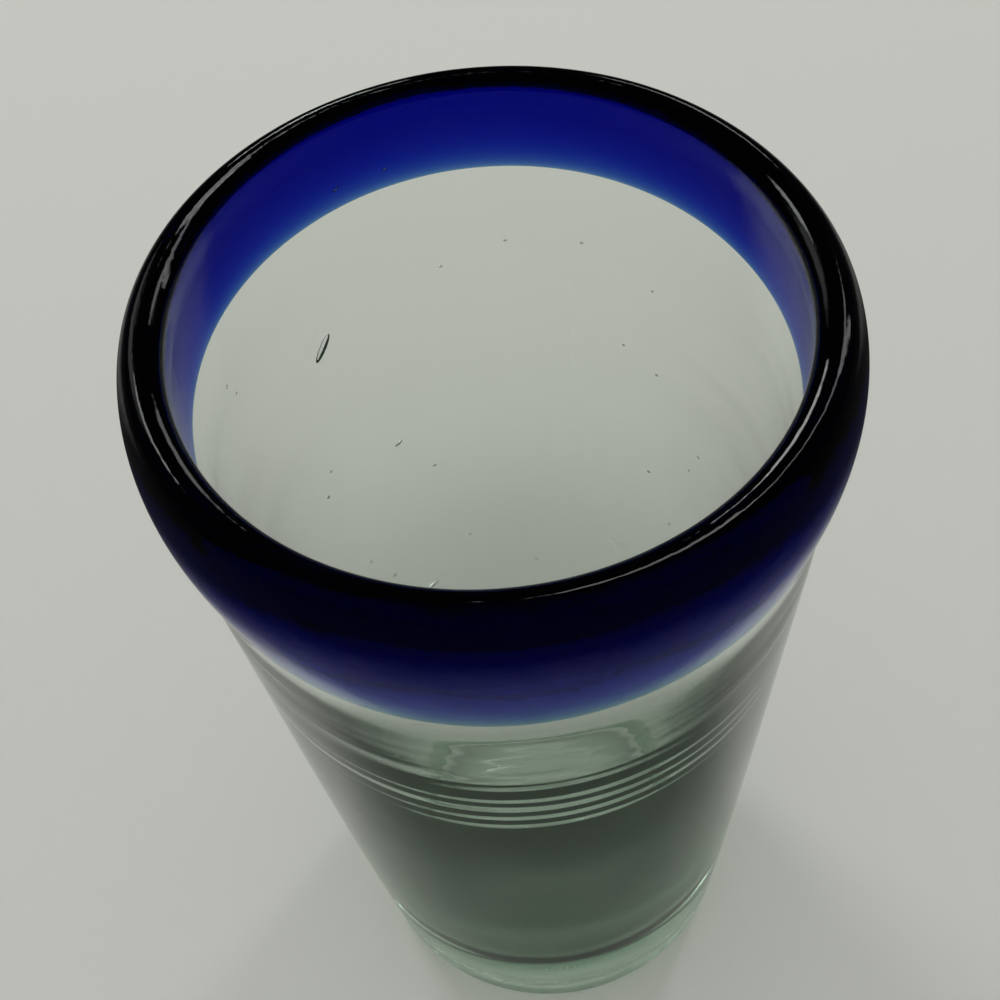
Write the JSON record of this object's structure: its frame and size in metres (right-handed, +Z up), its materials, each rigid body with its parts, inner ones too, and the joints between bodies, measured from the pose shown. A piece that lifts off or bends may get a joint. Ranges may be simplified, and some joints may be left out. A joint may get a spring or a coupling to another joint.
{
  "type": "tumbler",
  "caption": "Tapered hand-blown drinking tumbler with a thick cobalt blue lip fused to a pale green clear wall and a heavy solid base.",
  "frame": {"origin": "centre of the base, on the surface that the tumbler stands on", "axes": "+Z up the axis of the tumbler to its mouth; -Y is the side where the cobalt band reaches lowest"},
  "size_m": [0.0878, 0.0904, 0.1543],
  "materials": {
    "cobalt_glass": "fire-polished",
    "green_glass": "blown, clear with faint ripples and seeds",
    "broken_glass": "rough, snapped off"
  },
  "bodies": {
    "root": {"cobalt_rim": "cobalt_glass", "clear_wall": "green_glass", "heavy_base": "green_glass", "pontil_scar": "broken_glass"}
  },
  "joints": []
}
